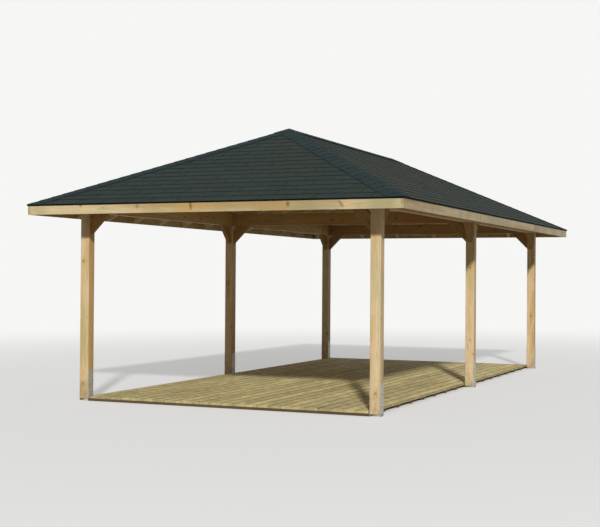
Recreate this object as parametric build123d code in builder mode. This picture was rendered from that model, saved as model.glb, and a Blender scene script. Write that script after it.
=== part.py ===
from build123d import *
import math
import os

# Open timber pavilion on six posts under a hipped shingle roof, in millimetres.
# X runs across the short side, Y runs from the front to the back, Z is up.
# The origin lies on the ground under the middle of the roof.

# Posts and the beams that they carry
post_side = 120
post_rows_width = 3860
post_rows_length = 7820
post_top = 2280
post_edge = 4
beam_height = 170
beam_edge = 6

# Roof edge, outside the posts
side_overhang = 420
end_overhang = 490
roof_pitch = 24.5
fascia_height = 120
fascia_thickness = 28

# Knee braces under the beams
brace_leg = 270
brace_depth = 130
brace_thickness = 60
brace_edge = 6

# Roof carpentry
rafter_width = 45
rafter_depth = 100
rafter_spacing = 680
rafter_notch = 8
rafter_tail_gap = 5
hip_width = 60
hip_plumb_depth = 130
ridge_thickness = 40
ridge_depth = 170
board_thickness = 19

# Shingle covering
shingle_overhang = 15
course_exposure = 145
course_butt = 8
course_head = 3
cap_half_width = 150
cap_thickness = 5
cap_gap = 6

# Galvanised anchors under the posts
anchor_height = 330
anchor_plate_width = 60
anchor_plate_thickness = 5
anchor_web_height = 20

# Low floor between the posts
deck_board_width = 145
deck_board_thickness = 27
deck_board_gap = 5
deck_joist_height = 30
deck_joist_width = 60
deck_joist_spacing = 480
deck_anchor_clearance = 0.3
deck_end_joint = 4

# Dependent sizes
slope = math.tan(math.radians(roof_pitch))
plumb = 1 / math.cos(math.radians(roof_pitch))
roof_width = post_rows_width + 2 * side_overhang
roof_length = post_rows_length + 2 * end_overhang
half_width = roof_width / 2
half_length = roof_length / 2
ridge_half = half_length - half_width
post_x = (post_rows_width - post_side) / 2
post_y = (post_rows_length - post_side) / 2
post_bottom = anchor_web_height + anchor_plate_thickness
beam_width = post_side
beam_top = post_top + beam_height
rafter_layer = (rafter_depth + board_thickness) * plumb
fascia_top = beam_top - rafter_notch + rafter_layer - max(side_overhang, end_overhang) * slope
fascia_bottom = fascia_top - fascia_height
rafter_level = fascia_bottom + rafter_tail_gap
far = roof_width + roof_length

sides = ("front", "back", "left", "right")
inward = {
    "front": Vector(0, 1, 0),
    "back": Vector(0, -1, 0),
    "left": Vector(1, 0, 0),
    "right": Vector(-1, 0, 0),
}
reach = {"front": half_length, "back": half_length, "left": half_width, "right": half_width}
half_eave = {"front": half_width, "back": half_width, "left": half_length, "right": half_length}
overhang = {
    "front": end_overhang,
    "back": end_overhang,
    "left": side_overhang,
    "right": side_overhang,
}
corners = {
    "front_left": (-1, -1),
    "front_right": (1, -1),
    "back_left": (-1, 1),
    "back_right": (1, 1),
}
post_places = {
    "front_left": (-post_x, -post_y),
    "front_right": (post_x, -post_y),
    "middle_left": (-post_x, 0),
    "middle_right": (post_x, 0),
    "back_left": (-post_x, post_y),
    "back_right": (post_x, post_y),
}

os.makedirs("parts", exist_ok=True)


def save(part, name):
    part.label = name
    export_step(part, f"parts/{name}.step")


def roof_line(run):
    """Height of the top of the roof boards at a run measured in from the fascia."""
    return fascia_top + run * slope


def board_underside(run):
    return roof_line(run) - board_thickness * plumb


def section_plane(side):
    """Upright plane across an eave: x is the run inwards, y is the height."""
    way = inward[side]
    return Plane(origin=way * -reach[side], x_dir=way, z_dir=way.cross(Vector(0, 0, 1)))


def plan_plane(side):
    """Level plane on the ground: x is the run inwards, y goes along the eave."""
    return Plane(origin=inward[side] * -reach[side], x_dir=inward[side], z_dir=(0, 0, 1))


def between_hips(side, first_run, last_run, hip_gap=0):
    """Plan of a slope between two runs, kept inside the hips by a gap."""
    half_span = half_eave[side] - hip_gap
    top_run = min(last_run, half_span)
    points = [(first_run, first_run - half_span), (first_run, half_span - first_run)]
    points.append((top_run, half_span - top_run))
    if top_run < half_span:
        points.append((top_run, top_run - half_span))
    with BuildSketch(plan_plane(side)) as plan:
        with BuildLine():
            Polyline(*points, close=True)
        make_face()
    return plan.sketch


def under_boards(side, last_run):
    """Section of all that lies under the roof boards of a slope, up to a run."""
    with BuildSketch(section_plane(side)) as section:
        with BuildLine():
            Polyline(
                (fascia_thickness, 0),
                (fascia_thickness, board_underside(fascia_thickness)),
                (last_run, board_underside(last_run)),
                (last_run, 0),
                close=True,
            )
        make_face()
    return section.sketch


# Posts with eased edges
def build_post(name, x, y):
    with BuildPart() as post:
        with BuildSketch(Plane.XY.offset(post_bottom)):
            with Locations((x, y)):
                Rectangle(post_side, post_side)
        extrude(amount=post_top - post_bottom)
        chamfer(post.edges().filter_by(Axis.Z), post_edge)
    save(post.part, f"post_{name}")


for name, (x, y) in post_places.items():
    build_post(name, x, y)

# Anchors: two plates up the sides of a post, joined by the web that it stands on
with BuildPart() as post_anchors:
    for x, y in post_places.values():
        with BuildSketch(Plane.XZ.offset(-y)):
            with Locations((x, anchor_height / 2)):
                Rectangle(post_side + 2 * anchor_plate_thickness, anchor_height)
            with Locations((x, (post_bottom + anchor_height) / 2)):
                Rectangle(post_side, anchor_height - post_bottom, mode=Mode.SUBTRACT)
            with Locations((x, anchor_web_height / 2)):
                Rectangle(post_side, anchor_web_height, mode=Mode.SUBTRACT)
        extrude(amount=anchor_plate_width / 2, both=True)
save(post_anchors.part, "post_anchors")


# Long beams lie on the post rows, halved from above where the tie beams cross, eased below
def build_long_beam(name, x):
    with BuildPart() as beam:
        with BuildSketch(Plane.XY.offset(post_top)):
            with Locations((x, 0)):
                Rectangle(beam_width, post_rows_length)
        extrude(amount=beam_height)
        chamfer(beam.edges().filter_by(Axis.Y).group_by(Axis.Z)[0], beam_edge)
        with BuildSketch(Plane.XY.offset(beam_top)):
            with Locations((x, 0)):
                with GridLocations(0, post_y, 1, 3):
                    Rectangle(beam_width, beam_width)
        extrude(amount=-beam_height / 2, mode=Mode.SUBTRACT)
    save(beam.part, name)


# Tie beams cross from row to row and are halved from below over the long beams
def build_tie_beam(name, y):
    with BuildPart() as beam:
        with BuildSketch(Plane.XY.offset(post_top)):
            with Locations((0, y)):
                Rectangle(post_rows_width, beam_width)
        extrude(amount=beam_height)
        with BuildSketch(Plane.XY.offset(post_top)):
            with Locations((0, y)):
                with GridLocations(2 * post_x, 0, 2, 1):
                    Rectangle(beam_width, beam_width)
        extrude(amount=beam_height / 2, mode=Mode.SUBTRACT)
        chamfer(beam.edges().filter_by(Axis.X).group_by(Axis.Z)[0], beam_edge)
    save(beam.part, name)


build_long_beam("beam_left", -post_x)
build_long_beam("beam_right", post_x)
build_tie_beam("beam_front", -post_y)
build_tie_beam("beam_middle", 0)
build_tie_beam("beam_back", post_y)


# Knee braces at 45 degrees with eased edges, a plumb cut on the post and a level cut above
def build_braces(name, x, y):
    cut = brace_depth * math.sqrt(2)
    ways = [inward["left" if x < 0 else "right"]]
    if y < post_y:
        ways.append(Vector(0, 1, 0))
    if y > -post_y:
        ways.append(Vector(0, -1, 0))
    with BuildPart() as braces:
        for way in ways:
            face = Vector(x, y, 0) + way * (post_side / 2)
            plane = Plane(origin=face, x_dir=way, z_dir=way.cross(Vector(0, 0, 1)))
            with BuildSketch(plane):
                with BuildLine():
                    Polyline(
                        (0, post_top - brace_leg),
                        (brace_leg, post_top),
                        (brace_leg - cut, post_top),
                        (0, post_top - brace_leg + cut),
                        close=True,
                    )
                make_face()
            extrude(amount=brace_thickness / 2, both=True)
            rising = Axis((0, 0, 0), way + Vector(0, 0, 1))
            chamfer(braces.edges().filter_by(rising), brace_edge)
    save(braces.part, f"braces_{name}")


for name, (x, y) in post_places.items():
    build_braces(name, x, y)


# Rafters of one slope: tails behind the fascia, notched over the beam, cut to the hips
def rafter_underside(run):
    return board_underside(run) - rafter_depth * plumb


def build_rafters(side):
    tail_run = fascia_thickness
    top_run = half_width - ridge_thickness / 2
    level_run = tail_run + max(rafter_level - rafter_underside(tail_run), 0) / slope
    heel_run = overhang[side]
    seat_run = heel_run + (beam_top - rafter_underside(heel_run)) / slope
    count = 2 * int((half_eave[side] - rafter_spacing / 2) / rafter_spacing) + 1
    between = between_hips(side, tail_run, top_run, hip_gap=hip_width / 2 * math.sqrt(2))
    with BuildPart() as rafters:
        with BuildSketch(section_plane(side)):
            with BuildLine():
                Polyline(
                    (tail_run, board_underside(tail_run)),
                    (top_run, board_underside(top_run)),
                    (top_run, rafter_underside(top_run)),
                    (seat_run, beam_top),
                    (heel_run, beam_top),
                    (heel_run, rafter_underside(heel_run)),
                    (level_run, rafter_underside(level_run)),
                    (tail_run, max(rafter_level, rafter_underside(tail_run))),
                    close=True,
                )
            make_face()
        extrude(amount=half_eave[side], both=True)
        extrude(between, amount=far, mode=Mode.INTERSECT)
        with BuildSketch(plan_plane(side)):
            with Locations((half_width / 2, 0)):
                with GridLocations(0, rafter_spacing, 1, count):
                    Rectangle(half_width, rafter_width)
        extrude(amount=far, mode=Mode.INTERSECT)
    save(rafters.part, f"rafters_{side}")


for side in sides:
    build_rafters(side)


# Hip rafters run up the corners, backed to both slopes and notched over the beams
def hip_underside(run):
    return board_underside(run) - hip_plumb_depth


def build_hip_rafter(name, x_sign, y_sign):
    uphill = Vector(-x_sign, -y_sign, 0).normalized()
    corner = Vector(x_sign * half_width, y_sign * half_length, 0)
    diagonal = math.sqrt(2)
    top_run = half_width - ridge_thickness / 2
    level_run = fascia_thickness + max(rafter_level - hip_underside(fascia_thickness), 0) / slope
    end_slope = under_boards("front" if y_sign < 0 else "back", top_run)
    side_slope = under_boards("left" if x_sign < 0 else "right", top_run)
    with BuildPart() as hip:
        with BuildSketch(Plane(origin=corner, x_dir=uphill, z_dir=uphill.cross(Vector(0, 0, 1)))):
            with BuildLine():
                Polyline(
                    (0, rafter_level),
                    (0, far),
                    (top_run * diagonal, far),
                    (top_run * diagonal, hip_underside(top_run)),
                    (level_run * diagonal, rafter_level),
                    close=True,
                )
            make_face()
        extrude(amount=hip_width / 2, both=True)
        extrude(end_slope, amount=far, both=True, mode=Mode.INTERSECT)
        extrude(side_slope, amount=far, both=True, mode=Mode.INTERSECT)
        with BuildSketch(Plane.XY):
            with Locations((x_sign * post_x, 0)):
                Rectangle(beam_width, post_rows_length)
            with Locations((0, y_sign * post_y)):
                Rectangle(post_rows_width, beam_width)
        extrude(amount=beam_top, mode=Mode.SUBTRACT)
    save(hip.part, f"hip_rafter_{name}")


for name, (x_sign, y_sign) in corners.items():
    build_hip_rafter(name, x_sign, y_sign)

# Ridge board between the hips, its top bevelled to both slopes
with BuildPart() as ridge_board:
    ridge_edge = board_underside(half_width - ridge_thickness / 2)
    with BuildSketch(Plane.XZ):
        with BuildLine():
            Polyline(
                (-ridge_thickness / 2, ridge_edge - ridge_depth),
                (-ridge_thickness / 2, ridge_edge),
                (0, board_underside(half_width)),
                (ridge_thickness / 2, ridge_edge),
                (ridge_thickness / 2, ridge_edge - ridge_depth),
                close=True,
            )
        make_face()
    extrude(amount=ridge_half + ridge_thickness / 2, both=True)
    extrude(under_boards("front", far), amount=far, both=True, mode=Mode.INTERSECT)
    extrude(under_boards("back", far), amount=far, both=True, mode=Mode.INTERSECT)
save(ridge_board.part, "ridge_board")


# One layer of a slope, given by its section, with its ends mitred along the hips
def build_slope_layer(name, side, section, first_run):
    with BuildPart() as layer:
        with BuildSketch(section_plane(side)):
            with BuildLine():
                Polyline(*section, close=True)
            make_face()
        extrude(amount=far, both=True)
        extrude(between_hips(side, first_run, half_width), amount=far, mode=Mode.INTERSECT)
    save(layer.part, name)


def board_section():
    first = fascia_thickness
    return [
        (first, roof_line(first)),
        (half_width, roof_line(half_width)),
        (half_width, board_underside(half_width)),
        (first, board_underside(first)),
    ]


# Each course is thick at its lower edge and thins out under the course above
def shingle_section():
    step = course_exposure / plumb
    points = [(-shingle_overhang, roof_line(-shingle_overhang))]
    run = -shingle_overhang
    while run < half_width:
        end = min(run + step, half_width)
        head = course_butt - (course_butt - course_head) * (end - run) / step
        points.append((run, roof_line(run) + course_butt * plumb))
        points.append((end, roof_line(end) + head * plumb))
        run = end
    points.append((half_width, roof_line(half_width)))
    return points


for side in sides:
    build_slope_layer(f"roof_boards_{side}", side, board_section(), fascia_thickness)
    build_slope_layer(f"shingles_{side}", side, shingle_section(), -shingle_overhang)


def raised_roof(rise):
    """Solid under the whole roof surface, raised by a height measured square to it."""
    with BuildPart() as solid:
        for number, side in enumerate(sides):
            with BuildSketch(section_plane(side)):
                with BuildLine():
                    Polyline(
                        (-shingle_overhang, 0),
                        (-shingle_overhang, roof_line(-shingle_overhang) + rise * plumb),
                        (far, roof_line(far) + rise * plumb),
                        (far, 0),
                        close=True,
                    )
                make_face()
            extrude(amount=far, both=True, mode=Mode.INTERSECT if number else Mode.ADD)
    return solid.part


# Fascia boards, bevelled on top to the roof; the side boards cover the ends of the others
fascia_half_length = {
    "front": half_width - fascia_thickness,
    "back": half_width - fascia_thickness,
    "left": half_length,
    "right": half_length,
}
under_roof = raised_roof(0)


def build_fascia(side):
    with BuildPart() as fascia:
        with BuildSketch(plan_plane(side).offset(fascia_bottom)):
            with Locations((fascia_thickness / 2, 0)):
                Rectangle(fascia_thickness, 2 * fascia_half_length[side])
        extrude(amount=far)
        add(under_roof, mode=Mode.INTERSECT)
    save(fascia.part, f"fascia_{side}")


for side in sides:
    build_fascia(side)


# Folded cover over the shingles: the roof surface raised, less the surface below it
shingle_top = raised_roof(course_butt)

# Hip caps, one strip folded over each hip, stopping short of each other at the peaks
with BuildPart() as hip_caps:
    add(raised_roof(course_butt + cap_thickness))
    add(shingle_top, mode=Mode.SUBTRACT)
    with BuildSketch(Plane.XY):
        for x_sign, y_sign in corners.values():
            middle = (x_sign * half_width / 2, y_sign * (half_length + ridge_half) / 2)
            with Locations(Location((*middle, 0), (0, 0, 45 * x_sign * y_sign))):
                Rectangle(far, 2 * cap_half_width)
        Rectangle(cap_gap, far, mode=Mode.SUBTRACT)
        Rectangle(far, 2 * ridge_half + cap_gap, mode=Mode.SUBTRACT)
    extrude(amount=far, mode=Mode.INTERSECT)
save(hip_caps.part, "hip_caps")

# Ridge cap, laid last, over the upper ends of the hip caps
with BuildPart() as ridge_cap:
    add(raised_roof(course_butt + 2 * cap_thickness))
    add(shingle_top, mode=Mode.SUBTRACT)
    with BuildSketch(Plane.XY):
        Rectangle(2 * cap_half_width, 2 * (ridge_half + cap_half_width))
    extrude(amount=far, mode=Mode.INTERSECT)
    add(hip_caps.part, mode=Mode.SUBTRACT)
save(ridge_cap.part, "ridge_cap")

# Deck joists lie across on the ground, between the anchors
joist_length = 2 * (post_x - post_side / 2 - anchor_plate_thickness - deck_anchor_clearance)
board_count = int((joist_length + deck_board_gap) / (deck_board_width + deck_board_gap))
joist_run = post_rows_length - deck_joist_width
joist_count = int(joist_run / deck_joist_spacing) + 1
with BuildPart() as deck_joists:
    with BuildSketch(Plane.XY):
        with GridLocations(0, joist_run / (joist_count - 1), 1, joist_count):
            Rectangle(joist_length, deck_joist_width)
    extrude(amount=deck_joist_height)
save(deck_joists.part, "deck_joists")

# Deck boards run from front to back in two lengths, butted over the middle joist
with BuildPart() as deck_boards:
    with BuildSketch(Plane.XY.offset(deck_joist_height)):
        with GridLocations(deck_board_width + deck_board_gap, post_rows_length / 2, board_count, 2):
            Rectangle(deck_board_width, post_rows_length / 2 - deck_end_joint)
    extrude(amount=deck_board_thickness)
save(deck_boards.part, "deck_boards")
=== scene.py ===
import math
import random

import bpy
from mathutils import Matrix, Vector


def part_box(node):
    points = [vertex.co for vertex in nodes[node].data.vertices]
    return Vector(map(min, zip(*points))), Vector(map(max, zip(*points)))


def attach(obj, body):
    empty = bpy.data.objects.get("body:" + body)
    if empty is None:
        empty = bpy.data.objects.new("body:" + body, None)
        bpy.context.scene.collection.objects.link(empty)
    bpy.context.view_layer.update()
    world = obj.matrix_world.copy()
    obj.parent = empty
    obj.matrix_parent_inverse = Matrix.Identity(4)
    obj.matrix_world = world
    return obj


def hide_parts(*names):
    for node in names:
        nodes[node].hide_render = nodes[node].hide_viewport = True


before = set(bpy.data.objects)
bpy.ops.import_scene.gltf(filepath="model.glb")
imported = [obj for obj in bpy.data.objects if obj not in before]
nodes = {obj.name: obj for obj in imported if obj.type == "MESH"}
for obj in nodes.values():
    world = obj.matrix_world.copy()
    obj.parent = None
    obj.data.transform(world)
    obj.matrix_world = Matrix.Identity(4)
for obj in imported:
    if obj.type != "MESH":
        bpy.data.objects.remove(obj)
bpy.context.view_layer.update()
print("frame loaded:", len(nodes), "pieces")

# Places that everything else is worked out from
roof = {
    "pitch": 24.5,
    "overhang": 0.015,       # shingles past the fascia
    "boardThickness": 0.019,
    "rafterStep": 0.68,
}
joists = {
    "count": 17,
    "width": 0.06,
}
pitch = math.radians(roof["pitch"])
slope = math.tan(pitch)
hipRise = math.degrees(math.atan(slope / math.sqrt(2)))
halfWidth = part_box("fascia_right")[1].x
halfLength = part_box("fascia_back")[1].y
ridgeHalf = halfLength - halfWidth
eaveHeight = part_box("shingles_front")[0].z + roof["overhang"] * slope
deckLow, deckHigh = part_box("deck_boards")
joistLow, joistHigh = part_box("deck_joists")
joistStep = (joistHigh.y - joistLow.y - joists["width"]) / (joists["count"] - 1)
posts = sorted(name for name in nodes if name.startswith("post_") and name != "post_anchors")

# Plan angle of each slope: its own Y axis runs uphill after this turn about Z
slopes = {
    "front": {"turn": 0, "reach": halfLength, "halfEave": halfWidth},
    "right": {"turn": 90, "reach": halfWidth, "halfEave": halfLength},
    "back": {"turn": 180, "reach": halfLength, "halfEave": halfWidth},
    "left": {"turn": 270, "reach": halfWidth, "halfEave": halfLength},
}


def middleOf(node):
    low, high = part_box(node)
    return (low + high) / 2


def rotation(axis, degrees):
    return Matrix.Rotation(math.radians(degrees), 4, axis)


# Handling of pieces, as by hand
near = 0.001                 # edges and corners are found by place within this


def makeActive(piece):
    bpy.ops.object.select_all(action="DESELECT")
    piece.select_set(True)
    bpy.context.view_layer.objects.active = piece


def sizePiece(name, size):
    piece = bpy.context.object
    piece.name = name
    piece.scale = size
    bpy.ops.object.transform_apply()
    return piece


def addBlock(name, low, high):
    bpy.ops.mesh.primitive_cube_add(size=1, location=(Vector(low) + Vector(high)) / 2)
    return sizePiece(name, Vector(high) - Vector(low))


def addSheet(name, columns, low, high):
    middle = (Vector(low) + Vector(high)) / 2
    bpy.ops.mesh.primitive_grid_add(x_subdivisions=columns, y_subdivisions=1, size=1, location=middle)
    return sizePiece(name, (high[0] - low[0], high[1] - low[1], 1))


def addDisc(sides, radius, low, high):
    bpy.ops.mesh.primitive_cylinder_add(vertices=sides, radius=radius, depth=high - low,
                                        location=(0, 0, (low + high) / 2))
    return bpy.context.object


def editPart(piece, kind, test):
    makeActive(piece)
    mesh = piece.data
    bpy.context.tool_settings.mesh_select_mode = (kind == "VERT", kind == "EDGE", kind == "FACE")
    for item in (*mesh.vertices, *mesh.edges, *mesh.polygons):
        item.select = False
    if kind == "VERT":
        for vertex in mesh.vertices:
            vertex.select = test(vertex.co)
    if kind == "EDGE":
        for edge in mesh.edges:
            edge.select = test(*(mesh.vertices[i].co for i in edge.vertices))
    if kind == "FACE":
        for face in mesh.polygons:
            face.select = test(face.normal)
    bpy.ops.object.mode_set(mode="EDIT")


def editAll(piece):
    editPart(piece, "FACE", lambda normal: True)


def editDone():
    bpy.ops.object.mode_set(mode="OBJECT")


def raiseVertices(piece, height, test):
    editPart(piece, "VERT", test)
    bpy.ops.transform.translate(value=(0, 0, height))
    editDone()


def extrudeEdges(piece, step, test):
    editPart(piece, "EDGE", test)
    bpy.ops.mesh.extrude_region_move(TRANSFORM_OT_translate={"value": step})
    editDone()


def bevelEdges(piece, offset, segments, test):
    editPart(piece, "EDGE", test)
    bpy.ops.mesh.bevel(offset=offset, segments=segments, profile=0.5)
    editDone()


def cutAway(piece, place, outward):
    editAll(piece)
    bpy.ops.mesh.bisect(plane_co=place, plane_no=outward, use_fill=True, clear_outer=True)
    editDone()


def repeatPiece(piece, count, step):
    makeActive(piece)
    repeat = piece.modifiers.new("repeat", "ARRAY")
    repeat.use_relative_offset = False
    repeat.use_constant_offset = True
    repeat.constant_offset_displace = step
    repeat.count = count
    bpy.ops.object.modifier_apply(modifier=repeat.name)


# Gives a sheet its thickness; a second material goes on the cut edges
def thicken(piece, thickness, materials=()):
    makeActive(piece)
    for material in materials:
        piece.data.materials.append(material)
    wall = piece.modifiers.new("wall", "SOLIDIFY")
    wall.thickness = thickness
    wall.offset = -1
    if len(materials) > 1:
        wall.material_offset_rim = 1
    bpy.ops.object.modifier_apply(modifier=wall.name)


def copyPiece(piece, name):
    makeActive(piece)
    bpy.ops.object.duplicate(linked=False)
    copy = bpy.context.object
    copy.name = name
    return copy


def placePiece(piece, place, turn=Matrix.Identity(4)):
    makeActive(piece)
    piece.matrix_world = Matrix.Translation(Vector(place)) @ turn @ piece.matrix_world
    bpy.ops.object.transform_apply()


# Puts a copy of the first piece in every spot, which is a place and a turn
def spreadPiece(first, spots):
    copies = []
    for place, turn in spots:
        copies.append(copyPiece(first, first.name + "Copy"))
        placePiece(copies[-1], place, turn)
    bpy.data.objects.remove(first)
    return copies


def joinPieces(pieces, name):
    makeActive(pieces[0])
    for piece in pieces[1:]:
        piece.select_set(True)
    if len(pieces) > 1:
        bpy.ops.object.join()
    pieces[0].name = name
    pieces[0].data.name = name
    return pieces[0]


def dress(piece, material):
    piece.data.materials.clear()
    piece.data.materials.append(material)


def finishPiece(pieces, name, slot, material, *replaced):
    piece = joinPieces(pieces, name)
    if material:
        dress(piece, material)
    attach(piece, "root")
    if replaced:
        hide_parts(*replaced)


def slopeOrigin(side):
    outward = rotation("Z", slopes[side]["turn"]) @ Vector((0, -1, 0))
    return outward * slopes[side]["reach"] + Vector((0, 0, eaveHeight))


def layOnSlope(piece, side):
    placePiece(piece, slopeOrigin(side), rotation("Z", slopes[side]["turn"]) @ rotation("X", roof["pitch"]))


# Trims a flat layer to a slope: x runs along the eave and y up the slope from the fascia
def trimToSlope(piece, side, firstRun):
    halfEave = slopes[side]["halfEave"]
    level = Vector((0, math.cos(pitch), -math.sin(pitch)))
    cutAway(piece, (0, firstRun / math.cos(pitch), 0), -level)
    for sign in (-1, 1):
        cutAway(piece, (sign * halfEave, 0, 0), (sign, level.y, level.z))
    if halfEave > halfWidth:
        cutAway(piece, (0, halfWidth / math.cos(pitch), 0), level)


# Camera at the photograph's place
view = {
    "place": (6.2195, -15.9813, 1.5003),
    "turn": 23.48,
    "tilt": 0.70,
    "roll": 0.384,
    "lens": 70.716,
}


def setCamera():
    bpy.ops.object.camera_add(location=view["place"])
    camera = bpy.context.object
    camera.name = "viewCamera"
    turned = rotation("Z", view["turn"]) @ rotation("X", 90 + view["tilt"]) @ rotation("Z", view["roll"])
    camera.rotation_euler = turned.to_euler()
    camera.data.lens = view["lens"]
    camera.data.sensor_width = 36
    camera.data.sensor_fit = "HORIZONTAL"
    bpy.context.scene.camera = camera


setCamera()
print("camera set")


# Node work: a value is a number, a vector or another node's socket
def addNode(tree, kind, **settings):
    node = tree.nodes.new("ShaderNode" + kind)
    for name, value in settings.items():
        setattr(node, name, value)
    return node


def feed(tree, socket, value):
    if isinstance(value, bpy.types.NodeSocket):
        tree.links.new(value, socket)
    else:
        socket.default_value = value


def feedAll(tree, node, values):
    for socket, value in zip(node.inputs, values):
        feed(tree, socket, value)
    return node.outputs


def calc(tree, operation, *values):
    return feedAll(tree, addNode(tree, "Math", operation=operation), values)[0]


def times(tree, first, second):
    return calc(tree, "MULTIPLY", first, second)


def plus(tree, first, second):
    return calc(tree, "ADD", first, second)


def minus(tree, first, second):
    return calc(tree, "SUBTRACT", first, second)


def vectorCalc(tree, operation, *values):
    outputs = feedAll(tree, addNode(tree, "VectorMath", operation=operation), values)
    return outputs["Value" if operation == "LENGTH" else "Vector"]


def split(tree, vector):
    return feedAll(tree, addNode(tree, "SeparateXYZ"), [vector])


def combine(tree, x, y, z):
    return feedAll(tree, addNode(tree, "CombineXYZ"), (x, y, z))[0]


def distance(tree, first, second):
    return vectorCalc(tree, "LENGTH", combine(tree, first, second, 0.0))


def ramp(tree, value, fromLow, fromHigh, toLow=0.0, toHigh=1.0, smooth=False):
    node = addNode(tree, "MapRange", interpolation_type="SMOOTHSTEP" if smooth else "LINEAR")
    return feedAll(tree, node, (value, fromLow, fromHigh, toLow, toHigh))[0]


# Colours are written as in a picture, from 0 to 255
def colour(red, green, blue):
    def linear(value):
        share = value / 255
        return share / 12.92 if share <= 0.04045 else ((share + 0.055) / 1.055) ** 2.4
    return (linear(red), linear(green), linear(blue), 1.0)


def mixColour(tree, share, first, second):
    node = addNode(tree, "Mix", data_type="RGBA")
    for socket, value in zip((node.inputs[0], node.inputs[6], node.inputs[7]), (share, first, second)):
        feed(tree, socket, colour(*value) if isinstance(value, tuple) else value)
    return node.outputs[2]


def toned(tree, base, tone):
    return vectorCalc(tree, "MULTIPLY", base, combine(tree, tone, tone, tone))


# A scale of three numbers stretches the figure along the axes
def noise(tree, vector, scale, detail=2.0, rough=0.5):
    if isinstance(scale, tuple):
        vector, scale = vectorCalc(tree, "MULTIPLY", vector, scale), 1.0
    node = addNode(tree, "TexNoise")
    for name, value in (("Vector", vector), ("Scale", scale), ("Detail", detail), ("Roughness", rough)):
        feed(tree, node.inputs[name], value)
    return node.outputs


def cells(tree, vector, scale, **settings):
    node = addNode(tree, "TexVoronoi", **settings)
    feed(tree, node.inputs["Vector"], vector)
    feed(tree, node.inputs["Scale"], scale)
    return node.outputs


def chance(tree, number):
    node = addNode(tree, "TexWhiteNoise", noise_dimensions="1D")
    feed(tree, node.inputs["W"], number)
    return node.outputs["Value"]


def newGroup(name, vectors, numbers, results):
    group = bpy.data.node_groups.new(name, "ShaderNodeTree")
    for names, way, kind in (
        (vectors, "INPUT", "Vector"), (numbers, "INPUT", "Float"), (results, "OUTPUT", "Float"),
    ):
        for socketName in names:
            group.interface.new_socket(socketName, in_out=way, socket_type="NodeSocket" + kind)
    return group, group.nodes.new("NodeGroupInput").outputs


def closeGroup(group, values):
    feedAll(group, group.nodes.new("NodeGroupOutput"), values)
    return group


def useGroup(tree, group, **values):
    node = addNode(tree, "Group", node_tree=group)
    for name, value in values.items():
        feed(tree, node.inputs[name], value)
    return node.outputs


def startMaterial(name):
    material = bpy.data.materials.new(name)
    material.use_nodes = True
    tree = material.node_tree
    tree.nodes.clear()
    shader = addNode(tree, "BsdfPrincipled")
    tree.links.new(shader.outputs[0], addNode(tree, "OutputMaterial").inputs[0])
    place = addNode(tree, "TexCoord").outputs["Object"]
    return material, tree, shader.inputs, place


def addBump(tree, shader, height, strength, depth):
    bump = addNode(tree, "Bump")
    for name, value in (("Strength", strength), ("Distance", depth), ("Height", height)):
        feed(tree, bump.inputs[name], value)
    tree.links.new(bump.outputs[0], shader["Normal"])


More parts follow.
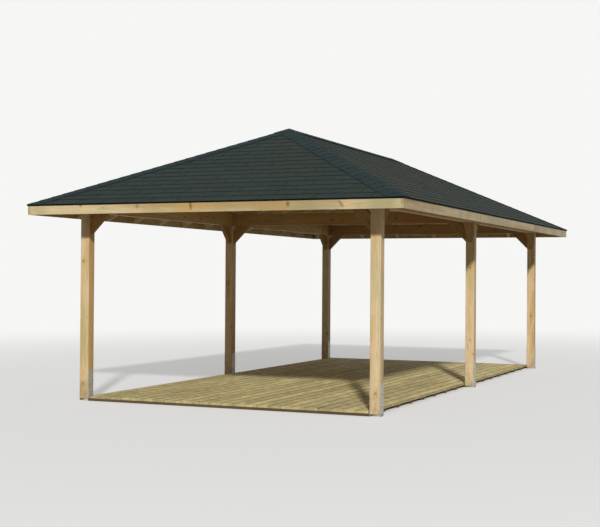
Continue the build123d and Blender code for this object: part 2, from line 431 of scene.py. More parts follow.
# Growth rings, knots, streaks and drying cracks of pine, with X along the grain
def buildPineFigure():
    numbers = ("Seed", "pithSide", "pithDepth", "ringWidth", "knotSize")
    results = ("Rings", "Knot", "Halo", "Streak", "Fibre", "Crack")
    group, given = newGroup("pineFigure", ("Place",), numbers, results)
    seed, place = given["Seed"], given["Place"]
    away = times(group, seed, 3.71)
    moved = vectorCalc(group, "ADD", place, combine(group, away, times(group, seed, 0.013), 0.0))
    bend = vectorCalc(group, "SUBTRACT", noise(group, moved, (0.8, 4.0, 4.0))["Color"], (0.5, 0.5, 0.5))
    bent = vectorCalc(group, "ADD", place, vectorCalc(group, "MULTIPLY", bend, (0.0, 0.035, 0.035)))
    x, y, z = split(group, bent)
    side = minus(group, y, given["pithSide"])
    below = plus(group, z, given["pithDepth"])
    radius = distance(group, side, below)
    # Some cells of a grid round the pith hold a knot
    cellWidth = 1.15
    along = times(group, plus(group, x, away), 2.6)
    turn = times(group, calc(group, "ARCTAN2", side, below), cellWidth)
    around = plus(group, turn, times(group, seed, 5.3))
    knots = cells(group, combine(group, along, around, 0.0), 1.0, voronoi_dimensions="2D")
    centre = split(group, knots["Position"])
    pick = split(group, knots["Color"])
    oval = ramp(group, pick[2], 0.0, 1.0, 0.26, 0.42)
    fromKnot = times(group, minus(group, along, centre[0]), oval)
    sideways = times(group, calc(group, "DIVIDE", minus(group, around, centre[1]), cellWidth), radius)
    shown = calc(group, "GREATER_THAN", pick[1], 0.62)
    size = times(group, given["knotSize"], plus(group, pick[0], 0.35))
    share = calc(group, "DIVIDE", distance(group, fromKnot, sideways), size)
    depth = ramp(group, pick[0], 0.0, 1.0, 1.0, 0.5)
    knot = times(group, ramp(group, share, 0.7, 1.2, 1.0, 0.0, True), times(group, shown, depth))
    halo = times(group, ramp(group, share, 0.8, 4.5, 1.0, 0.0, True), shown)
    # The rings swell round the knots
    swell = times(group, times(group, halo, size), 1.3)
    fine = times(group, noise(group, moved, (2.0, 60.0, 60.0))[0], 0.0016)
    year = calc(group, "DIVIDE", plus(group, plus(group, radius, swell), fine), given["ringWidth"])
    part = calc(group, "FRACT", year)
    late = times(group, ramp(group, part, 0.35, 0.88, 0.0, 1.0, True), ramp(group, part, 0.9, 1.0, 1.0, 0.0))
    yearTone = noise(group, combine(group, calc(group, "FLOOR", year), seed, 0.0), 0.83)[0]
    rings = times(group, late, ramp(group, yearTone, 0.3, 0.7, 0.35, 1.0))
    knotRings = calc(group, "FRACT", times(group, share, 4.0))
    mixed = plus(group, times(group, rings, minus(group, 1.0, knot)), times(group, knotRings, knot))
    streak = noise(group, moved, (0.45, 8.0, 8.0), 3.0)[0]
    fibre = noise(group, moved, (7.0, 220.0, 220.0), 2.0, 0.6)[0]
    # A crack follows the middle value of a stretched figure
    line = calc(group, "ABSOLUTE", minus(group, noise(group, moved, (0.5, 16.0, 16.0), 1.0)[0], 0.5))
    where = noise(group, moved, (1.53, 6.8, 6.8), 1.0)[0]
    crack = times(group, ramp(group, line, 0.0, 0.006, 1.0, 0.0), ramp(group, where, 0.52, 0.6, 0.0, 1.0, True))
    return closeGroup(group, (mixed, knot, halo, streak, fibre, crack))


# Number of the board that a point lies on, its place across that board and the board's tone
def buildBoardRow():
    group, given = newGroup("boardRow", (), ("Across", "Pitch"), ("Board", "Offset", "Tone"))
    share = calc(group, "DIVIDE", given["Across"], given["Pitch"])
    board = calc(group, "ROUND", share)
    offset = times(group, minus(group, share, board), given["Pitch"])
    return closeGroup(group, (board, offset, chance(group, plus(group, board, 0.37))))


# Weather on timber: grime low down and a green breath of impregnation salt
def buildWeather():
    group, given = newGroup("timberWeather", ("Place",), ("Seed",), ("Grime", "Green"))
    away = combine(group, times(group, given["Seed"], 5.1), 0.0, 0.0)
    moved = vectorCalc(group, "ADD", given["Place"], away)
    low = ramp(group, split(group, given["Place"])[2], 0.02, 0.5, 1.0, 0.0, True)
    grime = times(group, low, ramp(group, noise(group, moved, 9.0, 4.0, 0.6)[0], 0.35, 0.65))
    green = ramp(group, noise(group, moved, 1.9, 3.0)[0], 0.42, 0.66, 0.0, 1.0, True)
    return closeGroup(group, (grime, green))


pineFigure = buildPineFigure()
boardRow = buildBoardRow()
timberWeather = buildWeather()
print("shader groups built")

# How far beside and below the middle of a timber its pith lies, and its rings and knots
postFigure = {"pithSide": 0.012, "pithDepth": 0.018, "ringWidth": 0.0062, "knotSize": 0.014}
beamFigure = {"pithSide": 0.02, "pithDepth": 0.03, "ringWidth": 0.006, "knotSize": 0.02}
boardFigure = {"pithSide": 0.008, "pithDepth": 0.075, "ringWidth": 0.005, "knotSize": 0.014}
standingFigure = {"pithSide": 0.07, "pithDepth": 0.012, "ringWidth": 0.005, "knotSize": 0.015}

# Colours of the timbers: between the rings, in them, knots, streaks and impregnation salt
plainPine = {"bump": 0.35, "greenShare": 0.45}
planedPine = dict(
    plainPine, light=(216, 196, 152), late=(182, 148, 98), knot=(112, 74, 42),
    streak=(192, 150, 94), green=(182, 176, 126), rough=0.55, figure=postFigure,
)
# Darker than the posts' pine as painted shade, for the ties and braces that lie in the shade under the roof
beamPinePaintedShade = dict(
    plainPine, light=(168, 132, 83), late=(131, 95, 54), knot=(74, 46, 24),
    streak=(150, 106, 56), green=(144, 126, 80), rough=0.65, figure=beamFigure,
)
longBeamPine = dict(
    plainPine, light=(208, 180, 130), late=(166, 130, 80), knot=(88, 56, 30),
    streak=(176, 136, 82), green=(170, 154, 106), rough=0.6, figure=beamFigure,
)
# Paler than the posts' pine as painted light, for the rafters under the roof lit from below
rafterPinePaintedLight = dict(
    plainPine, light=(232, 208, 162), late=(202, 168, 116), knot=(120, 84, 50),
    streak=(208, 172, 118), green=(196, 186, 140), rough=0.7, figure=standingFigure,
)
fasciaPine = dict(
    plainPine, light=(222, 202, 158), late=(188, 156, 104), knot=(138, 98, 56),
    streak=(184, 142, 84), green=(156, 150, 106), rough=0.5, bump=0.3, greenShare=0.6, figure=standingFigure,
)
joistPine = dict(
    plainPine, light=(98, 78, 56), late=(76, 56, 38), knot=(46, 32, 20),
    streak=(82, 60, 40), green=(82, 76, 54), rough=0.8, bump=0.5, figure=boardFigure,
)


def paintTimber(tree, shader, local, world, seed, look):
    parts = useGroup(tree, pineFigure, Place=local, Seed=seed, **look["figure"])
    weather = useGroup(tree, timberWeather, Place=world, Seed=seed)
    streak = ramp(tree, parts["Streak"], 0.4, 0.66, 0.0, 0.8, True)
    base = mixColour(tree, streak, look["light"], look["streak"])
    for share, tint in (
        (times(tree, weather["Green"], look["greenShare"]), "green"),
        (times(tree, parts["Rings"], 0.7), "late"),
        (times(tree, parts["Halo"], 0.35), "streak"),
        (ramp(tree, parts["Knot"], 0.0, 1.0, 0.0, 0.85), "knot"),
    ):
        base = mixColour(tree, share, base, look[tint])
    base = toned(tree, base, ramp(tree, parts["Fibre"], 0.3, 0.7, 0.9, 1.07))
    base = mixColour(tree, times(tree, parts["Crack"], 0.8), base, look["knot"])
    base = mixColour(tree, times(tree, weather["Grime"], 0.45), base, (96, 84, 58))
    feed(tree, shader["Base Color"], base)
    rough = plus(tree, look["rough"], ramp(tree, parts["Fibre"], 0.3, 0.7, -0.05, 0.1))
    feed(tree, shader["Roughness"], minus(tree, rough, times(tree, parts["Knot"], 0.12)))
    shader["Specular IOR Level"].default_value = 0.3
    height = plus(tree, times(tree, parts["Rings"], 0.5), times(tree, parts["Fibre"], 0.5))
    height = minus(tree, height, times(tree, parts["Crack"], 1.5))
    addBump(tree, shader, height, look["bump"], 0.0012)
    return base


def turnedPlace(tree, world, centre, planTurn, rise):
    mapping = addNode(tree, "Mapping", vector_type="TEXTURE")
    mapping.inputs["Location"].default_value = centre
    mapping.inputs["Rotation"].default_value = (0, -math.radians(rise), math.radians(planTurn))
    feed(tree, mapping.inputs["Vector"], world)
    return mapping.outputs[0]


def timberMaterial(name, planTurn, rise, seed, look):
    material, tree, shader, world = startMaterial(name + "Pine")
    local = turnedPlace(tree, world, middleOf(name), planTurn, rise)
    paintTimber(tree, shader, local, world, seed, look)
    return material


# Parallel timbers in one node: each takes its own figure from its number in the row
def rowMaterial(name, centre, planTurn, rise, spacing, look):
    material, tree, shader, world = startMaterial(name + "Pine")
    x, y, z = split(tree, turnedPlace(tree, world, centre, planTurn, rise))
    row = useGroup(tree, boardRow, Across=y, Pitch=spacing)
    seed = plus(tree, times(tree, row["Tone"], 17.0), row["Board"])
    paintTimber(tree, shader, combine(tree, x, row["Offset"], z), world, seed, look)
    return material


# Knee braces: the grain of each runs up and away from the post at 45 degrees
def braceMaterial(name, seed, look):
    material, tree, shader, world = startMaterial(name + "Pine")
    low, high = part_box(name.replace("braces_", "post_"))
    foot = ((low.x + high.x) / 2, (low.y + high.y) / 2, high.z)
    x, y, z = split(tree, vectorCalc(tree, "SUBTRACT", world, foot))
    farX = calc(tree, "ABSOLUTE", x)
    farY = calc(tree, "ABSOLUTE", y)
    out = calc(tree, "MAXIMUM", farX, farY)
    across = calc(tree, "MINIMUM", farX, farY)
    along = times(tree, plus(tree, out, z), math.sqrt(0.5))
    square = times(tree, minus(tree, out, z), math.sqrt(0.5))
    halfBrace = 0.031
    way = plus(tree, calc(tree, "GREATER_THAN", farX, farY), calc(tree, "GREATER_THAN", y, halfBrace))
    seed = plus(tree, times(tree, way, 3.3), seed)
    paintTimber(tree, shader, combine(tree, along, across, square), world, seed, look)
    return material


# Fascias: the long ones are three lengths, butted, and each length has its own figure and tone
fascia = {
    "joints": (-1.83, 1.83),
    "halfJoint": 0.0015,
    "jointColour": (60, 44, 28),
    "toneSpread": 0.08,
}

# The front one shows branches sawn lengthwise, with warmer or greyer wood next to them
frontGrain = {
    "branchColour": (104, 78, 40),
    "halfWidth": 0.025,
    "figure": dict(standingFigure, knotSize=0.006),
    # place along the board, height from its middle, half height, slant, darkness
    "branches": (
        (-1.615, 0.037, 0.026, 0.35, 0.75),
        (-0.84, 0.012, 0.036, 0.15, 0.5),
        (-0.15, 0.008, 0.06, 0.05, 0.75),
        (1.04, 0.0, 0.036, 0.0, 0.8),
        (1.655, -0.012, 0.05, 0.55, 0.6),
    ),
    # start, end, share at the end, colour
    "stretches": (
        (-0.42, -0.15, 0.5, (196, 160, 92)),
        (0.5, 1.03, 0.5, (190, 148, 92)),
        (1.02, 1.65, 0.4, (150, 146, 110)),
        (1.7, 2.35, 0.3, (168, 164, 118)),
    ),
}


def addBranches(tree, local, base):
    spot = split(tree, local)
    x = plus(tree, spot["X"], ramp(tree, noise(tree, local, 22.0)[0], 0.25, 0.75, -0.008, 0.008))
    for start, end, share, tint in frontGrain["stretches"]:
        rise = ramp(tree, x, start, start + 0.6 * (end - start), 0.0, share, True)
        fall = ramp(tree, x, end - 0.015, end + 0.015, 1.0, 0.0, True)
        base = mixColour(tree, times(tree, rise, fall), base, tint)
    for place, height, halfHeight, slant, darkness in frontGrain["branches"]:
        up = minus(tree, spot["Z"], height)
        sideways = calc(tree, "MULTIPLY_ADD", up, slant, minus(tree, x, place))
        across = calc(tree, "DIVIDE", sideways, frontGrain["halfWidth"])
        away = distance(tree, across, calc(tree, "DIVIDE", up, halfHeight))
        share = ramp(tree, away, 0.1, 1.3, darkness, 0.0, True)
        base = mixColour(tree, share, base, frontGrain["branchColour"])
    return base


def fasciaMaterial(name, planTurn, seed, toneAndPaintedShade):
    material, tree, shader, world = startMaterial(name + "Pine")
    local = turnedPlace(tree, world, middleOf(name), planTurn, 0)
    along = split(tree, local)[0]
    board, gap = seed, 0.0
    for joint in fascia["joints"] if planTurn in (90, 270) else ():
        board = plus(tree, times(tree, calc(tree, "GREATER_THAN", along, joint), 4.3), board)
        away = calc(tree, "ABSOLUTE", minus(tree, along, joint))
        gap = calc(tree, "MAXIMUM", calc(tree, "LESS_THAN", away, fascia["halfJoint"]), gap)
    front = planTurn == 0
    look = dict(fasciaPine, figure=frontGrain["figure"]) if front else fasciaPine
    base = paintTimber(tree, shader, local, world, board, look)
    if front:
        base = addBranches(tree, local, base)
    # Each length's tone varies round the fascia's darkening factor, which on the right fascia is painted shade
    low, high = toneAndPaintedShade - fascia["toneSpread"], toneAndPaintedShade + fascia["toneSpread"]
    base = toned(tree, base, ramp(tree, chance(tree, board), 0.0, 1.0, low, high))
    feed(tree, shader["Base Color"], mixColour(tree, gap, base, fascia["jointColour"]))
    return material


# Posts are mottled; on the front left one, the face towards the right post gets an orange tint of painted
# light, bounced warm from the deck
postLook = {
    "pink": (228, 192, 154),
    "pinkShare": 0.4,
    "paintedBounceLight": (214, 150, 70),
    "paintedBounceShare": 0.38,
}


def postMaterial(name, seed, look):
    material, tree, shader, world = startMaterial(name + "Pine")
    local = turnedPlace(tree, world, middleOf(name), 0, 90)
    base = paintTimber(tree, shader, local, world, seed, look)
    patch = noise(tree, world, (14.0, 14.0, 3.2), 3.0, 0.6)[0]
    pink = ramp(tree, patch, 0.45, 0.62, 0.0, postLook["pinkShare"], True)
    base = mixColour(tree, pink, base, postLook["pink"])
    # Painted light: an orange tint on this post's face towards the right post
    if name == "post_front_left":
        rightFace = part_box(name)[1].x - 0.003
        onFace = calc(tree, "GREATER_THAN", split(tree, world)[0], rightFace)
        base = mixColour(tree, times(tree, onFace, postLook["paintedBounceShare"]), base, postLook["paintedBounceLight"])
    feed(tree, shader["Base Color"], base)
    return material


# Turn in plan, slope and seed of the timbers that have a node of their own
singleTimbers = {
    "beam_left": (90, 0, 21.4, longBeamPine),
    "beam_right": (90, 0, 22.4, longBeamPine),
    "beam_front": (0, 0, 31.9, beamPinePaintedShade),
    "beam_middle": (0, 0, 32.9, beamPinePaintedShade),
    "beam_back": (0, 0, 33.9, beamPinePaintedShade),
    "hip_rafter_front_left": (45, hipRise, 61.0, rafterPinePaintedLight),
    "hip_rafter_front_right": (135, hipRise, 62.0, rafterPinePaintedLight),
    "hip_rafter_back_right": (225, hipRise, 63.0, rafterPinePaintedLight),
    "hip_rafter_back_left": (315, hipRise, 64.0, rafterPinePaintedLight),
    "ridge_board": (90, 0, 71.3, rafterPinePaintedLight),
}

# Turn in plan, seed and darkening of the fascias; the right one is darkened most, as painted shade for the side
# that the light reaches less
fascias = {
    "fascia_front": (0, 52.9, 0.92),
    "fascia_right": (90, 57.7, 0.69),
    "fascia_back": (180, 55.3, 0.9),
    "fascia_left": (270, 73.1, 0.8),
}


def dressTimbers():
    looks = {name: timberMaterial(name, *given) for name, given in singleTimbers.items()}
    looks.update((name, fasciaMaterial(name, *given)) for name, given in fascias.items())
    for number, name in enumerate(posts):
        look = dict(planedPine, figure=dict(postFigure, pithSide=postFigure["pithSide"] - 0.007 * (number % 3)))
        looks[name] = postMaterial(name, 1.3 + 2.17 * number, look)
    braces = dict(beamPinePaintedShade, figure=standingFigure)
    for number, name in enumerate(sorted(n for n in nodes if n.startswith("braces_"))):
        looks[name] = braceMaterial(name, 41.7 + 1.9 * number, braces)
    for side in slopes:
        given = slopeOrigin(side), slopes[side]["turn"] + 90, roof["pitch"], roof["rafterStep"], rafterPinePaintedLight
        looks["rafters_" + side] = rowMaterial("rafters_" + side, *given)
    looks["deck_joists"] = rowMaterial("deck_joists", middleOf("deck_joists"), 0, 0, joistStep, joistPine)
    for name, material in looks.items():
        dress(nodes[name], material)


dressTimbers()
print("timbers dressed")

# Shingles with three tabs each, laid in courses from the eaves up
shingle = {
    "tab": 0.3333,          # width of a tab with its slot
    "slot": 0.006,
    "exposure": 0.145,
    "length": 0.300,
    "butt": 0.0078,         # height of the lower edge over the boards
    "head": 0.0030,         # height where the next course begins
    "upper": 0.0010,        # height of the covered upper edge
    "thickness": 0.0028,
    "lift": 0.0009,         # how unevenly the tabs lie
}


def makeTab(materials):
    width = shingle["tab"] - shingle["slot"]
    shown = shingle["exposure"]
    tab = addSheet("shingleTab", 1, (0, 0, 0), (width, shown, 0))
    raiseVertices(tab, shingle["butt"] - shingle["head"], lambda place: place.y < near)
    extrudeEdges(tab, (0, shingle["length"] - shown, shingle["upper"] - shingle["head"]),
                 lambda a, b: min(a.y, b.y) > shown - near)
    extrudeEdges(tab, (shingle["slot"], 0, 0),
                 lambda a, b: min(a.x, b.x) > width - near and max(a.y, b.y) > shown + near)
    placePiece(tab, (0, 0, shingle["head"]))
    thicken(tab, shingle["thickness"], materials)
    return tab


# Number of the strip that a place lies in; the margin keeps a strip's lower edge with it
def stripNumber(place, step):
    margin = 0.02
    return math.floor(place / step + margin)


def tabNumbers(centre):
    course = stripNumber(centre.y - firstEdge(), shingle["exposure"])
    return course, math.floor(centre.x / shingle["tab"] - (course % 2) / 2)


def markTones(piece, numbersOf, seed):
    tone = piece.data.attributes.new("pieceTone", "FLOAT", "FACE")
    draws = {}
    for index, face in enumerate(piece.data.polygons):
        key = numbersOf(face.center)
        if key not in draws:
            draws[key] = random.Random(f"{seed} {key}").random()
        tone.data[index].value = draws[key]


def liftTabs(piece, seed):
    for vertex in piece.data.vertices:
        course, tab = tabNumbers(vertex.co)
        up = vertex.co.y - firstEdge() - course * shingle["exposure"]
        if up < 0.25 * shingle["exposure"]:
            vertex.co.z -= shingle["lift"] * random.Random(f"{seed} {course} {tab}").random()


# The lower edge of the first course stays within the overhang
def firstEdge():
    return (shingle["butt"] * math.sin(pitch) - roof["overhang"]) / math.cos(pitch)


def makeShingles(side, materials):
    reachOut = slopes[side]["halfEave"] + roof["overhang"]
    courses = math.ceil((halfWidth / math.cos(pitch) - firstEdge()) / shingle["exposure"])
    row = makeTab(materials)
    count = 2 * math.ceil(reachOut / shingle["tab"]) + 2
    repeatPiece(row, count, (shingle["tab"], 0, 0))
    odd = copyPiece(row, "oddCourse")
    start = -count / 2 * shingle["tab"]
    placePiece(row, (start, firstEdge(), 0))
    placePiece(odd, (start + shingle["tab"] / 2, firstEdge() + shingle["exposure"], 0))
    layer = joinPieces([row, odd], "shingleCourses")
    repeatPiece(layer, math.ceil(courses / 2), (0, 2 * shingle["exposure"], 0))
    markTones(layer, tabNumbers, side)
    liftTabs(layer, side)
    trimToSlope(layer, side, -2 * roof["overhang"])
    layOnSlope(layer, side)
    finishPiece([layer], "shingleCourses" + side.title(), "shingle", None, "shingles_" + side)


# Black starter strip under the first course, folded down over the fascia's edge; the deep, near black fold also
# stands for the shade under the shingles' overhang, as painted shade
starter = {
    "thickness": 0.0022,
    "width": 0.19,
    # Deep enough to also stand for the shade under the overhang: painted shade
    "drop": 0.015,
    "setBack": 0.0015,       # behind the shingles' edge
    "air": 0.0002,           # over the roof boards
    "spare": 0.05,           # past the hips, before it is trimmed
}


def makeStarter(side):
    reachOut = slopes[side]["halfEave"] + roof["overhang"] + starter["spare"]
    out = firstEdge() + starter["setBack"]
    strip = addSheet("starterStrip", 1, (-reachOut, out, 0), (reachOut, starter["width"], 0))
    extrudeEdges(strip, (0, 0, -starter["drop"]), lambda a, b: max(a.y, b.y) < out + near)
    placePiece(strip, (0, 0, starter["thickness"]))
    thicken(strip, starter["thickness"] - starter["air"])
    trimToSlope(strip, side, -2 * roof["overhang"])
    layOnSlope(strip, side)
    return strip


# Bitumen shingles with slate granules: every tab has a tone of its own, and clouds lie over them. On the side
# slopes the brown cloud covers most of it, as painted light for the sun grazing them
shingleLooks = {
    "slateShingle": {"dark": (41, 52, 49), "light": (47, 58, 55), "cloud": (57, 58, 50), "cloudAndPaintedLightShare": 0.35},
    # Copy for the side slopes: its larger cloud share is painted light
    "slateShingleSidePaintedLight": {"dark": (41, 52, 49), "light": (47, 58, 55), "cloud": (57, 58, 50), "cloudAndPaintedLightShare": 0.9},
    "shingleRim": {"dark": (24, 28, 26), "light": (30, 34, 32), "cloud": (24, 28, 26), "cloudAndPaintedLightShare": 0.3},
    # Near black for the starter strip: bitumen, partly painted shade under the overhang
    "bitumenEdgeAndShade": {"dark": (10, 10, 10), "light": (16, 16, 16), "cloud": (10, 10, 10), "cloudAndPaintedLightShare": 0.3},
    "slateCap": {"dark": (34, 48, 50), "light": (41, 56, 58), "cloud": (57, 58, 50), "cloudAndPaintedLightShare": 0.15},
}


def shingleMaterial(name):
    look = shingleLooks[name]
    material, tree, shader, world = startMaterial(name)
    tone = addNode(tree, "Attribute", attribute_name="pieceTone").outputs["Fac"]
    cloud = ramp(tree, noise(tree, world, 0.9, 4.0, 0.6)[0], 0.35, 0.7, 0.0, 1.0, True)
    grains = noise(tree, world, 420.0, 2.0, 0.7)[0]
    specks = ramp(tree, cells(tree, world, 260.0)["Color"], 0.75, 0.95)
    base = mixColour(tree, ramp(tree, tone, 0.0, 1.0, 0.1, 0.9), look["dark"], look["light"])
    base = mixColour(tree, times(tree, cloud, look["cloudAndPaintedLightShare"]), base, look["cloud"])
    base = toned(tree, base, ramp(tree, grains, 0.25, 0.75, 0.72, 1.28))
    base = mixColour(tree, times(tree, specks, 0.22), base, (96, 104, 98))
    feed(tree, shader["Base Color"], base)
    feed(tree, shader["Roughness"], ramp(tree, grains, 0.2, 0.8, 0.82, 0.98))
    shader["Specular IOR Level"].default_value = 0.12
    addBump(tree, shader, grains, 0.6, 0.0015)
    return material


shingleMaterials = {name: shingleMaterial(name) for name in shingleLooks}
rim = shingleMaterials["shingleRim"]
for sideName in slopes:
    top = shingleMaterials["slateShingle" if sideName in ("front", "back") else "slateShingleSidePaintedLight"]
    makeShingles(sideName, (top, rim))
strips = [makeStarter(sideName) for sideName in slopes]
finishPiece(strips, "starterStrips", "shingle", shingleMaterials["bitumenEdgeAndShade"])
print("shingles laid")

# Folded caps along the hips and the ridge, each lapping the one below
cap = {
    "length": 0.235,
    "exposure": 0.145,
    "halfWidth": 0.150,      # in plan
    "end": 0.010,            # ridge strip past the peaks
    "thickness": 0.0034,
    "fold": 0.014,
    "butt": 0.0052,          # lower edge over the shingles
    "rest": 0.0080,          # shingles over the roof boards
    "hipAir": 0.0003,        # under the hips' caps
    "ridgeButt": 0.003,
    "ridgeAir": 0.005,
    "past": 0.002,           # hips' caps past the planes where they meet
    "peakDrop": 0.003,       # folded end caps, under the last ridge caps
}


def makeCap(wing, fall, rise, materials):
    reachOut = wing * math.cos(fall)
    sheet = addSheet("capSheet", 2, (-reachOut, 0, 0), (reachOut, cap["length"], 0))
    raiseVertices(sheet, wing * math.sin(fall), lambda place: abs(place.x) < near)
    raiseVertices(sheet, rise, lambda place: place.y < near)
    bevelEdges(sheet, cap["fold"], 3, lambda a, b: abs(a.x) < near and abs(b.x) < near)
    placePiece(sheet, (0, 0, -wing * math.sin(fall)))
    thicken(sheet, cap["thickness"], materials)
    return sheet


def capNumbers(centre):
    return stripNumber(centre.y, cap["exposure"])


def makeHipCaps(materials):
    uphill = Vector((1, 1, slope)).normalized()
    normal = Vector((0, -slope, 1)).normalized()
    wingWay = normal.cross(uphill).normalized()
    level = Vector((-1, 1, 0)).normalized()
    fall = math.acos(abs(wingWay.dot(level)))
    wing = cap["halfWidth"] / abs(wingWay.dot(level))
    hipLength = halfWidth * math.sqrt(2 + slope * slope)
    row = makeCap(wing, fall, cap["butt"], materials)
    repeatPiece(row, math.ceil(hipLength / cap["exposure"]) + 3, (0, cap["exposure"], 0))
    placePiece(row, (0, -2 * cap["exposure"], 0))
    markTones(row, capNumbers, "hip")
    lift = (cap["rest"] + cap["hipAir"]) / math.cos(pitch)
    pieces = []
    for signX, signY in ((-1, -1), (1, -1), (1, 1), (-1, 1)):
        strip = copyPiece(row, "hipCapRow")
        turn = rotation("Z", math.degrees(math.atan2(-signY, -signX)) - 90) @ rotation("X", hipRise)
        placePiece(strip, (signX * halfWidth, signY * halfLength, eaveHeight + lift), turn)
        cutAway(strip, (signX * (halfWidth + roof["overhang"]), 0, 0), (signX, 0, 0))
        cutAway(strip, (0, signY * (halfLength + roof["overhang"]), 0), (0, signY, 0))
        cutAway(strip, (cap["past"] * signX, 0, 0), (-signX, 0, 0))
        cutAway(strip, (0, signY * (ridgeHalf + cap["past"]), 0), (0, -signY, 0))
        pieces.append(strip)
    bpy.data.objects.remove(row)
    finishPiece(pieces, "hipCapStrips", "cap_shingle", None, "hip_caps")


def makeRidgeCaps(materials):
    row = makeCap(cap["halfWidth"] / math.cos(pitch), pitch, cap["ridgeButt"], materials)
    length = 2 * (ridgeHalf + cap["end"])
    count = math.ceil((length - cap["length"]) / cap["exposure"]) + 1
    repeatPiece(row, count, (0, (length - cap["length"]) / (count - 1), 0))
    markTones(row, capNumbers, "ridge")
    height = eaveHeight + halfWidth * slope + (cap["rest"] + cap["ridgeAir"]) / math.cos(pitch)
    placePiece(row, (0, -length / 2, height))
    peaks = [row]
    for sign in (-1, 1):
        peak = bpy.data.objects.new("peakCap", nodes["ridge_cap"].data.copy())
        bpy.context.scene.collection.objects.link(peak)
        dress(peak, materials[0])
        editAll(peak)
        bpy.ops.mesh.remove_doubles(threshold=0.00001)
        editDone()
        cutAway(peak, (0, sign * (ridgeHalf - cap["halfWidth"]), 0), (0, -sign, 0))
        placePiece(peak, (0, 0, -cap["peakDrop"]))
        markTones(peak, lambda centre: sign, "peak")
        peaks.append(peak)
    finishPiece(peaks, "ridgeCapStrips", "cap_shingle", None, "ridge_cap")


makeHipCaps((shingleMaterials["slateCap"], rim))
makeRidgeCaps((shingleMaterials["slateCap"], rim))
print("caps folded over the hips and the ridge")

# Tongue and groove boards under the shingles
roofBoard = {
    "cover": 0.121,
    "joint": 0.0005,         # gap between two boards
    "groove": 0.006,
    "spare": 0.05,           # past the hips, before they are trimmed
}


def makeRoofBoards(side, material):
    reachOut = slopes[side]["halfEave"] + roofBoard["spare"]
    bottom = -roof["boardThickness"]
    width = roofBoard["cover"] - roofBoard["joint"]
    board = addBlock("roofBoard", (-reachOut, 0, bottom), (reachOut, width, 0))
    bevelEdges(board, roofBoard["groove"], 1,
               lambda a, b: max(a.z, b.z) < bottom + near and abs(a.y - b.y) < near)
    count = math.ceil(halfWidth / math.cos(pitch) / roofBoard["cover"])
    repeatPiece(board, count, (0, roofBoard["cover"], 0))
    outer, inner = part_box("fascia_front")
    trimToSlope(board, side, inner.y - outer.y)
    layOnSlope(board, side)
    finishPiece([board], "roofBoards" + side.title(), "roof_board_wood", material, "roof_boards_" + side)


# Paler than the posts' pine as painted light, for the undersides of the boards lit from below
roofBoardPine = dict(
    plainPine, light=(238, 218, 178), late=(212, 184, 138), knot=(124, 88, 54),
    streak=(216, 184, 134), green=(202, 194, 152), rough=0.65, bump=0.3, figure=boardFigure,
)


def roofBoardMaterial(side):
    material, tree, shader, world = startMaterial("roofBoardPine" + side.title())
    local = turnedPlace(tree, world, slopeOrigin(side), slopes[side]["turn"] + 90, roof["pitch"])
    up, along, depth = split(tree, local)
    centred = minus(tree, up, roofBoard["cover"] / 2)
    row = useGroup(tree, boardRow, Across=centred, Pitch=roofBoard["cover"])
    seed = plus(tree, times(tree, row["Tone"], 13.0), row["Board"])
    place = combine(tree, along, row["Offset"], depth)
    base = paintTimber(tree, shader, place, world, seed, roofBoardPine)
    base = toned(tree, base, ramp(tree, row["Tone"], 0.0, 1.0, 0.86, 1.1))
    feed(tree, shader["Base Color"], base)
    return material


for sideName in slopes:
    makeRoofBoards(sideName, roofBoardMaterial(sideName))
print("roof boards laid")

# Grooved deck boards
deck = {
    "width": 0.145,
    "pitch": 0.150,
    "grooves": 9,
    "grooveDepth": 0.0025,
    "endGap": 0.004,
    "edgeDarkFrom": 0.011,       # from a board's long edges
    "edgeDarkFull": 0.003,
}
deckColumns = round((deckHigh.x - deckLow.x + deck["pitch"] - deck["width"]) / deck["pitch"])


def makeDeckBoards(material):
    columns = 4 * deck["grooves"] + 1
    step = deck["width"] / columns
    length = (deckHigh.y - deckLow.y - deck["endGap"]) / 2
    corner = (deckLow.x, deckLow.y, deckHigh.z)
    board = addSheet("deckBoard", columns, corner, (deckLow.x + deck["width"], deckLow.y + length, deckHigh.z))
    raiseVertices(board, -deck["grooveDepth"], lambda place: round((place.x - deckLow.x) / step) % 4 in (2, 3))
    editAll(board)
    bpy.ops.mesh.extrude_region_move(TRANSFORM_OT_translate={"value": (0, 0, deckLow.z - deckHigh.z)})
    bpy.ops.transform.resize(value=(1, 1, 0), center_override=(0, 0, deckLow.z))
    bpy.ops.mesh.select_all(action="SELECT")
    bpy.ops.mesh.normals_make_consistent(inside=False)
    editDone()
    repeatPiece(board, deckColumns, (deck["pitch"], 0, 0))
    repeatPiece(board, 2, (0, deckHigh.y - deckLow.y - length, 0))
    finishPiece([board], "deckBoards", "deck_wood", material, "deck_boards")


deckPine = dict(
    plainPine, light=(244, 230, 172), late=(216, 197, 132), knot=(126, 94, 54),
    streak=(224, 198, 134), green=(214, 208, 148), rough=0.7, bump=0.4, greenShare=0.4, figure=boardFigure,
)


